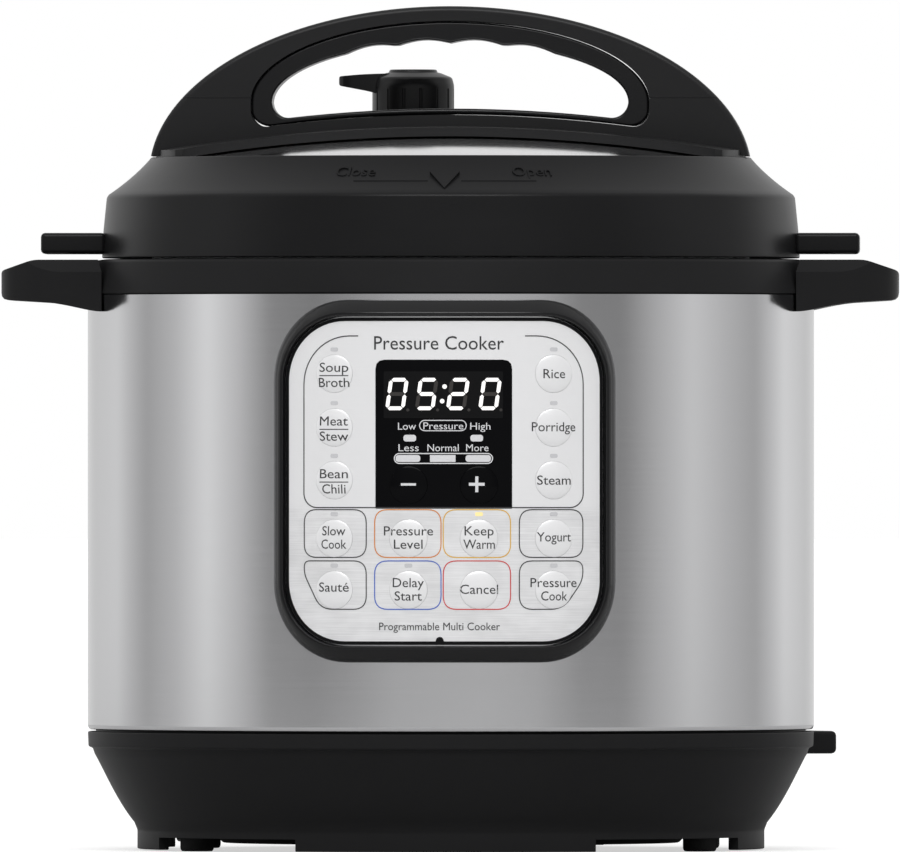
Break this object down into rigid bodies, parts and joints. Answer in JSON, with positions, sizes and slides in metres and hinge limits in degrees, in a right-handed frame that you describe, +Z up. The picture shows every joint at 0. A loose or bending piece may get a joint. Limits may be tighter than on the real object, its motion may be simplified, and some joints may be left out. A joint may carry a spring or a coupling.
{
  "type": "electric pressure cooker",
  "caption": "Round electric pressure cooker: steel sleeve on a black base, twist-lock lid with an arched handle, lift-out pot, steam release and a curved square control panel.",
  "frame": {"origin": "on the worktop under the middle of the body: the body's vertical axis is the Z axis", "axes": "+Z up, -Y out of the control panel, +X towards the right-hand side handle, which is on the side of the mains inlet"},
  "size_m": [0.2986, 0.2555, 0.281],
  "materials": {
    "black": "satin",
    "brushed": "brushed",
    "polished": "polished",
    "aluminium": "cast",
    "silver": "satin silver",
    "button": "satin white",
    "window": "gloss",
    "silicone": "soft, clear",
    "rubber": "matt",
    "board": "lacquered board",
    "brass": "turned",
    "cup": "clear moulded"
  },
  "bodies": {
    "base": {"base_housing": "black", "bottom_cover": "black", "foot_front_left": "rubber", "foot_front_right": "rubber", "foot_rear_left": "rubber", "foot_rear_right": "rubber", "base_screw_1": "polished", "base_screw_2": "polished", "base_screw_3": "polished", "power_inlet": "black", "inlet_pin_live": "brass", "inlet_pin_neutral": "brass", "inlet_pin_earth": "brass", "power_board": "board", "outer_body": "brushed", "cooker_collar": "black", "side_handle_left": "black", "side_handle_right": "black", "pressure_housing": "aluminium", "heating_plate": "aluminium", "sensor_bracket": "brushed", "pressure_switch": "black", "sensor_spring": "polished", "panel_bezel": "black", "control_board": "board", "panel_plate": "silver", "display_window": "window"},
    "sensor": {"temperature_sensor": "aluminium"},
    "collector": {"condensation_cup": "cup"},
    "pot": {"inner_pot": "polished"},
    "seal": {"sealing_ring": "silicone", "seal_rack": "polished"},
    "lid": {"lid_steel": "brushed", "lid_cover": "black", "handle_base": "black", "handle_arch": "black", "handle_insert": "black", "steam_pipe": "polished", "pipe_shield": "polished"},
    "valve": {"valve_weight": "polished"},
    "knob": {"steam_release_knob": "black"},
    "float": {"float_valve": "polished", "float_seal_cap": "silicone"},
    "button_soup": {"button_soup": "button"},
    "button_meat": {"button_meat": "button"},
    "button_bean": {"button_bean": "button"},
    "button_rice": {"button_rice": "button"},
    "button_porridge": {"button_porridge": "button"},
    "button_steam": {"button_steam": "button"},
    "button_slow_cook": {"button_slow_cook": "button"},
    "button_pressure_level": {"button_pressure_level": "button"},
    "button_keep_warm": {"button_keep_warm": "button"},
    "button_yogurt": {"button_yogurt": "button"},
    "button_saute": {"button_saute": "button"},
    "button_delay_start": {"button_delay_start": "button"},
    "button_cancel": {"button_cancel": "button"},
    "button_pressure_cook": {"button_pressure_cook": "button"},
    "button_minus": {"button_minus": "window"},
    "button_plus": {"button_plus": "window"}
  },
  "joints": [
    {"name": "pot_lift", "type": "slide", "parent": "base", "child": "pot", "axis": [0, 0, 1], "range_m": [0, 0.16]},
    {"name": "lid_lift", "type": "slide", "parent": "pot", "child": "seal", "axis": [0, 0, 1], "range_m": [0, 0.2]},
    {"name": "lid_turn", "type": "hinge", "parent": "seal", "child": "lid", "pos_m": [0, 0, 0.1971], "axis": [0, 0, 1], "range_deg": [0, 30]},
    {"name": "valve_lift", "type": "slide", "parent": "lid", "child": "valve", "axis": [0, 0, 1], "range_m": [0, 0.02]},
    {"name": "knob_turn", "type": "hinge", "parent": "valve", "child": "knob", "pos_m": [-0.0135, 0.046, 0.23932], "axis": [0, 0, 1], "range_deg": [-45, 0]},
    {"name": "float_rise", "type": "slide", "parent": "lid", "child": "float", "axis": [0, 0, 1], "range_m": [0, 0.005]},
    {"name": "sensor_press", "type": "slide", "parent": "base", "child": "sensor", "axis": [0, 0, 1], "range_m": [-0.003, 0], "stiffness_N_per_m": 500, "springref_m": 0.004, "deforming": ["sensor_spring"]},
    {"name": "collector_pull", "type": "slide", "parent": "base", "child": "collector", "axis": [0, 1, 0], "range_m": [0, 0.05]},
    {"name": "press_soup", "type": "slide", "parent": "base", "child": "button_soup", "axis": [0.2911, 0.9567, 0], "range_m": [0, 0.0006], "stiffness_N_per_m": 500},
    {"name": "press_meat", "type": "slide", "parent": "base", "child": "button_meat", "axis": [0.2911, 0.9567, 0], "range_m": [0, 0.0006], "stiffness_N_per_m": 500},
    {"name": "press_bean", "type": "slide", "parent": "base", "child": "button_bean", "axis": [0.2911, 0.9567, 0], "range_m": [0, 0.0006], "stiffness_N_per_m": 500},
    {"name": "press_rice", "type": "slide", "parent": "base", "child": "button_rice", "axis": [-0.2911, 0.9567, 0], "range_m": [0, 0.0006], "stiffness_N_per_m": 500},
    {"name": "press_porridge", "type": "slide", "parent": "base", "child": "button_porridge", "axis": [-0.2911, 0.9567, 0], "range_m": [0, 0.0006], "stiffness_N_per_m": 500},
    {"name": "press_steam", "type": "slide", "parent": "base", "child": "button_steam", "axis": [-0.2911, 0.9567, 0], "range_m": [0, 0.0006], "stiffness_N_per_m": 500},
    {"name": "press_slow_cook", "type": "slide", "parent": "base", "child": "button_slow_cook", "axis": [0.2911, 0.9567, 0], "range_m": [0, 0.0006], "stiffness_N_per_m": 500},
    {"name": "press_pressure_level", "type": "slide", "parent": "base", "child": "button_pressure_level", "axis": [0.0937, 0.9956, 0], "range_m": [0, 0.0006], "stiffness_N_per_m": 500},
    {"name": "press_keep_warm", "type": "slide", "parent": "base", "child": "button_keep_warm", "axis": [-0.0937, 0.9956, 0], "range_m": [0, 0.0006], "stiffness_N_per_m": 500},
    {"name": "press_yogurt", "type": "slide", "parent": "base", "child": "button_yogurt", "axis": [-0.2911, 0.9567, 0], "range_m": [0, 0.0006], "stiffness_N_per_m": 500},
    {"name": "press_saute", "type": "slide", "parent": "base", "child": "button_saute", "axis": [0.2911, 0.9567, 0], "range_m": [0, 0.0006], "stiffness_N_per_m": 500},
    {"name": "press_delay_start", "type": "slide", "parent": "base", "child": "button_delay_start", "axis": [0.0937, 0.9956, 0], "range_m": [0, 0.0006], "stiffness_N_per_m": 500},
    {"name": "press_cancel", "type": "slide", "parent": "base", "child": "button_cancel", "axis": [-0.0937, 0.9956, 0], "range_m": [0, 0.0006], "stiffness_N_per_m": 500},
    {"name": "press_pressure_cook", "type": "slide", "parent": "base", "child": "button_pressure_cook", "axis": [-0.2911, 0.9567, 0], "range_m": [0, 0.0006], "stiffness_N_per_m": 500},
    {"name": "press_minus", "type": "slide", "parent": "base", "child": "button_minus", "axis": [0.0937, 0.9956, 0], "range_m": [0, 0.0006], "stiffness_N_per_m": 500},
    {"name": "press_plus", "type": "slide", "parent": "base", "child": "button_plus", "axis": [-0.0937, 0.9956, 0], "range_m": [0, 0.0006], "stiffness_N_per_m": 500}
  ]
}
